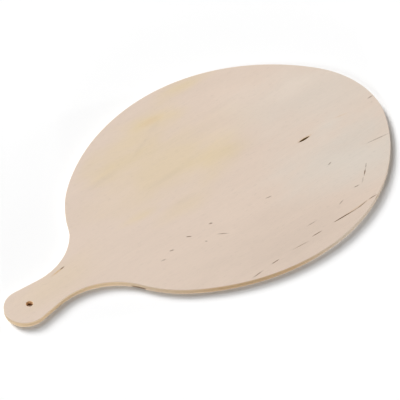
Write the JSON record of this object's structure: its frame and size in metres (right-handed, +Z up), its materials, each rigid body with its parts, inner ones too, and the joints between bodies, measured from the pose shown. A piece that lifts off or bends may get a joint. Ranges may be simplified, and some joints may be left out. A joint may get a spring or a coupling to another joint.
{
  "type": "pizza board",
  "caption": "Flat oval plywood board with a waisted handle and a hang hole, for serving and moving a pizza.",
  "frame": {"origin": "on the resting face of the back veneer, under the middle of the board's length and width", "axes": "+X along the board from the handle to the far end, +Y across it, +Z up out of the face veneer"},
  "size_m": [0.5, 0.3, 0.006],
  "materials": {
    "birch_face": "sanded raw birch, grain along the handle, unfinished",
    "birch_core": "birch end grain, sawn and sanded, unfinished",
    "birch_back": "sanded raw birch, grain along the handle, unfinished",
    "glue": "hard dried wood glue, satin"
  },
  "bodies": {
    "root": {"back_veneer": "birch_back", "lower_glue_line": "glue", "core_veneer": "birch_core", "upper_glue_line": "glue", "face_veneer": "birch_face"}
  },
  "joints": []
}
